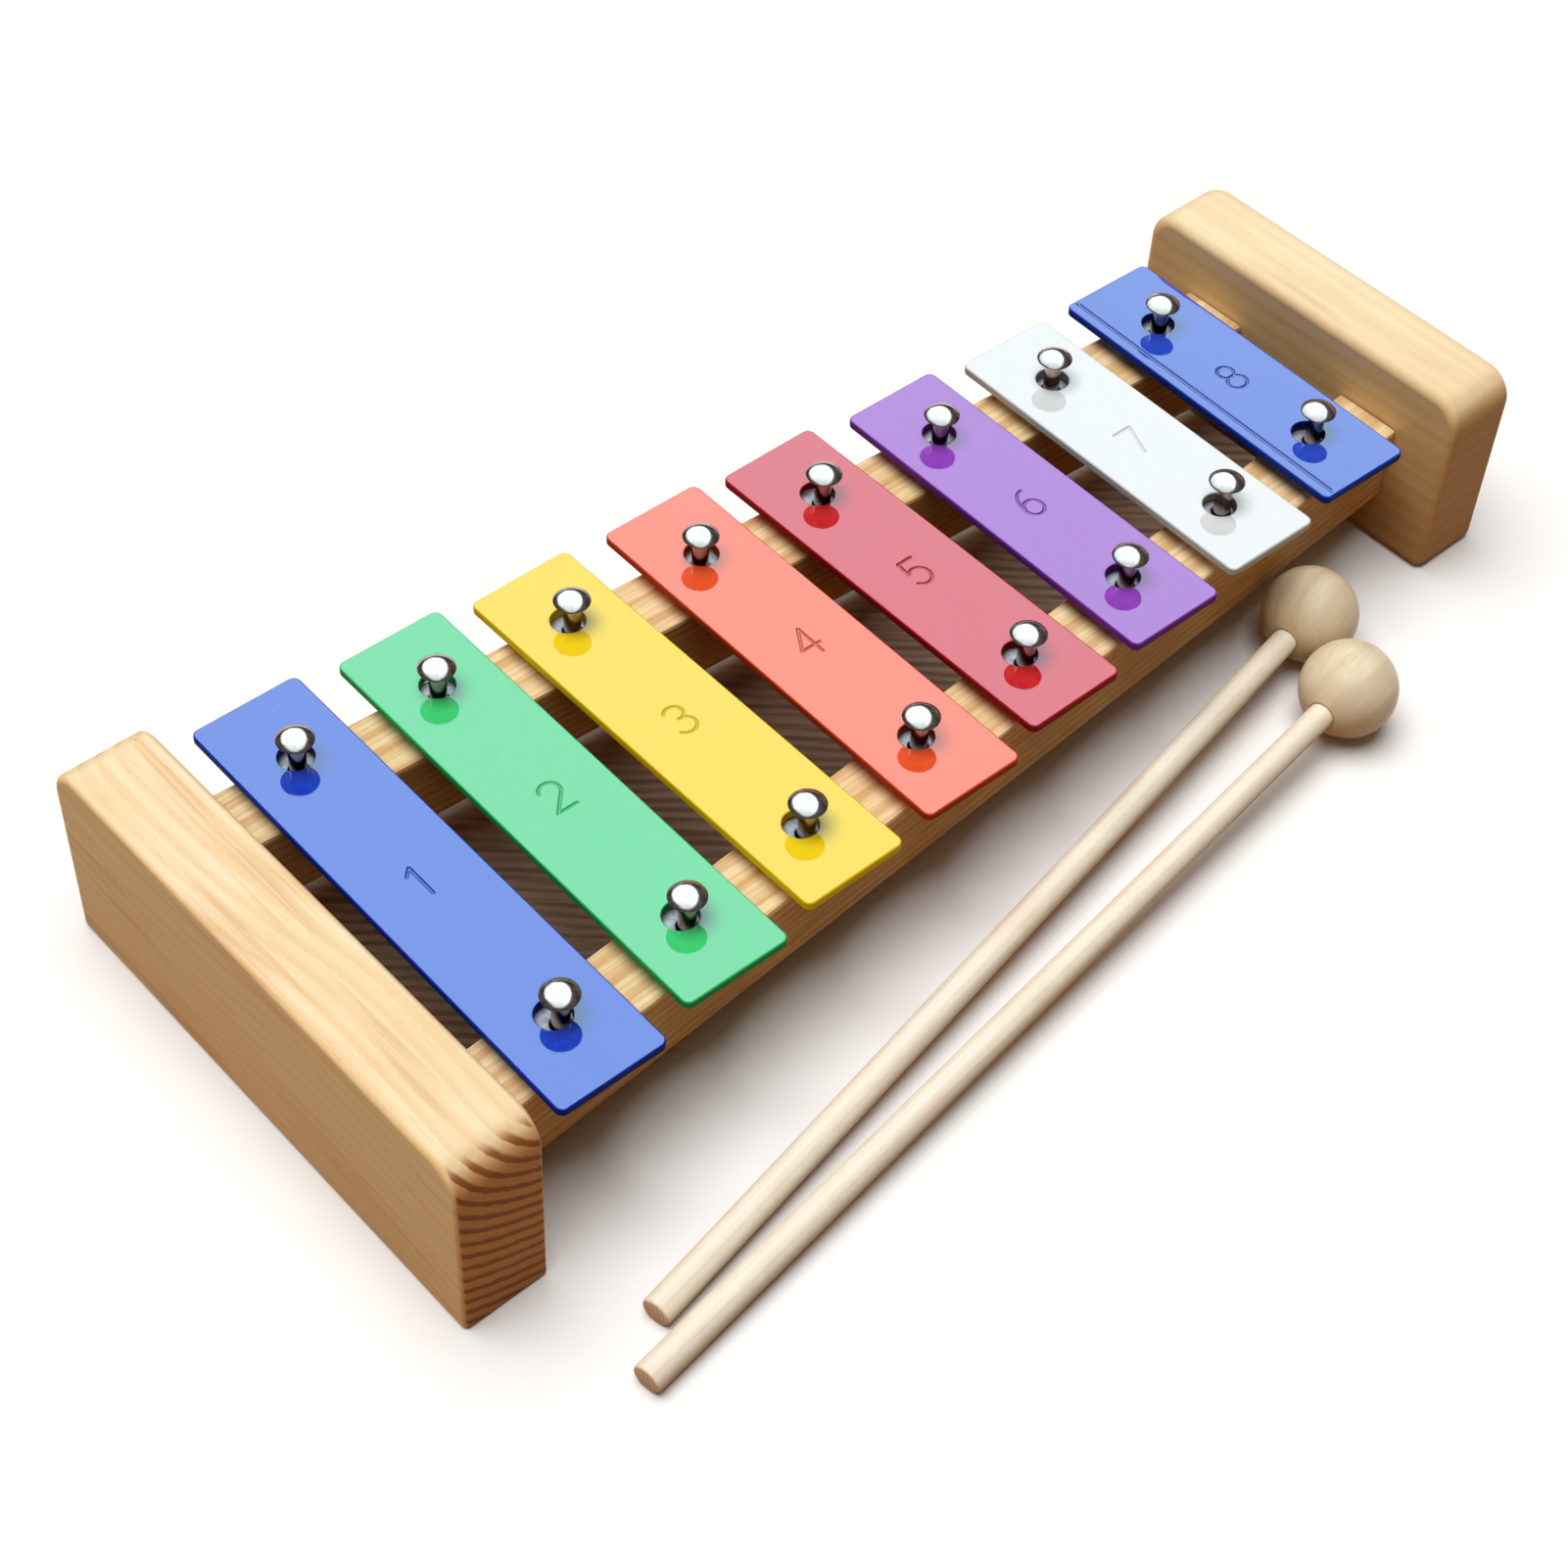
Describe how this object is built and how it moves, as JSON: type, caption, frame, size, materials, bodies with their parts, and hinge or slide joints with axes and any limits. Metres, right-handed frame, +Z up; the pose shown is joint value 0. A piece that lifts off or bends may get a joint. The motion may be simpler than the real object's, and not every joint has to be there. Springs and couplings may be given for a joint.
{
  "type": "toy xylophone",
  "caption": "Toy xylophone: loose painted steel bars on round-headed pins over two converging pine rails between pine end blocks, with a pair of ball mallets beside it.",
  "frame": {"origin": "middle of the low end block's underside, on the surface the toy stands on", "axes": "+X along the row of bars from the long low bar to the short high bar, +Y to the back, away from the mallets, +Z up"},
  "size_m": [0.2844, 0.146, 0.0447],
  "materials": {
    "block_pine": "sanded knot-free pine, pale cream face grain with tan end grain, unvarnished",
    "rail_pine": "planed pine, straight grain, unvarnished",
    "dowel_beech": "plain beech dowel with fine flecks",
    "ball_wood": "smooth turned ball with a thin clear wax",
    "stick_wood": "pale straight-grained round stick, sanded",
    "pin_nickel": "bright nickel plate, mirror-like",
    "washer_nickel": "grey nickel plate with fine turned lines",
    "paint_blue": "thick gloss enamel on steel",
    "paint_green": "thick gloss enamel on steel",
    "paint_yellow": "thick gloss enamel on steel",
    "paint_orange": "thick gloss enamel on steel",
    "paint_red": "thick gloss enamel on steel",
    "paint_purple": "thick gloss enamel on steel",
    "paint_white": "thick gloss enamel on steel"
  },
  "bodies": {
    "frame": {"low_end_block": "block_pine", "high_end_block": "block_pine", "front_rail": "rail_pine", "back_rail": "rail_pine", "low_front_lower_dowel": "dowel_beech", "low_front_upper_dowel": "dowel_beech", "low_back_lower_dowel": "dowel_beech", "low_back_upper_dowel": "dowel_beech", "high_front_lower_dowel": "dowel_beech", "high_front_upper_dowel": "dowel_beech", "high_back_lower_dowel": "dowel_beech", "high_back_upper_dowel": "dowel_beech", "front_pin_1": "pin_nickel", "front_pin_2": "pin_nickel", "front_pin_3": "pin_nickel", "front_pin_4": "pin_nickel", "front_pin_5": "pin_nickel", "front_pin_6": "pin_nickel", "front_pin_7": "pin_nickel", "front_pin_8": "pin_nickel", "back_pin_1": "pin_nickel", "back_pin_2": "pin_nickel", "back_pin_3": "pin_nickel", "back_pin_4": "pin_nickel", "back_pin_5": "pin_nickel", "back_pin_6": "pin_nickel", "back_pin_7": "pin_nickel", "back_pin_8": "pin_nickel", "front_washer_1": "washer_nickel", "front_washer_2": "washer_nickel", "front_washer_3": "washer_nickel", "front_washer_4": "washer_nickel", "front_washer_5": "washer_nickel", "front_washer_6": "washer_nickel", "front_washer_7": "washer_nickel", "front_washer_8": "washer_nickel", "back_washer_1": "washer_nickel", "back_washer_2": "washer_nickel", "back_washer_3": "washer_nickel", "back_washer_4": "washer_nickel", "back_washer_5": "washer_nickel", "back_washer_6": "washer_nickel", "back_washer_7": "washer_nickel", "back_washer_8": "washer_nickel"},
    "bar_1": {"tone_bar_1_blue": "paint_blue"},
    "bar_2": {"tone_bar_2_green": "paint_green"},
    "bar_3": {"tone_bar_3_yellow": "paint_yellow"},
    "bar_4": {"tone_bar_4_orange": "paint_orange"},
    "bar_5": {"tone_bar_5_red": "paint_red"},
    "bar_6": {"tone_bar_6_purple": "paint_purple"},
    "bar_7": {"tone_bar_7_white": "paint_white"},
    "bar_8": {"tone_bar_8_blue": "paint_blue"},
    "mallet_1": {"mallet_1_ball": "ball_wood", "mallet_1_stick": "stick_wood"},
    "mallet_2": {"mallet_2_ball": "ball_wood", "mallet_2_stick": "stick_wood"}
  },
  "joints": [
    {"name": "bar_1_hop", "type": "slide", "parent": "frame", "child": "bar_1", "axis": [0, 0, 1], "range_m": [0, 0.0045]},
    {"name": "bar_2_hop", "type": "slide", "parent": "frame", "child": "bar_2", "axis": [0, 0, 1], "range_m": [0, 0.0045]},
    {"name": "bar_3_hop", "type": "slide", "parent": "frame", "child": "bar_3", "axis": [0, 0, 1], "range_m": [0, 0.0045]},
    {"name": "bar_4_hop", "type": "slide", "parent": "frame", "child": "bar_4", "axis": [0, 0, 1], "range_m": [0, 0.0045]},
    {"name": "bar_5_hop", "type": "slide", "parent": "frame", "child": "bar_5", "axis": [0, 0, 1], "range_m": [0, 0.0045]},
    {"name": "bar_6_hop", "type": "slide", "parent": "frame", "child": "bar_6", "axis": [0, 0, 1], "range_m": [0, 0.0045]},
    {"name": "bar_7_hop", "type": "slide", "parent": "frame", "child": "bar_7", "axis": [0, 0, 1], "range_m": [0, 0.0045]},
    {"name": "bar_8_hop", "type": "slide", "parent": "frame", "child": "bar_8", "axis": [0, 0, 1], "range_m": [0, 0.0045]},
    {"name": "mallet_1_lift", "type": "slide", "parent": "frame", "child": "mallet_1", "axis": [0.3006, -0.501, 0.8116], "range_m": [0, 0.06]},
    {"name": "mallet_2_lift", "type": "slide", "parent": "frame", "child": "mallet_2", "axis": [0, 0, 1], "range_m": [0, 0.06]}
  ]
}
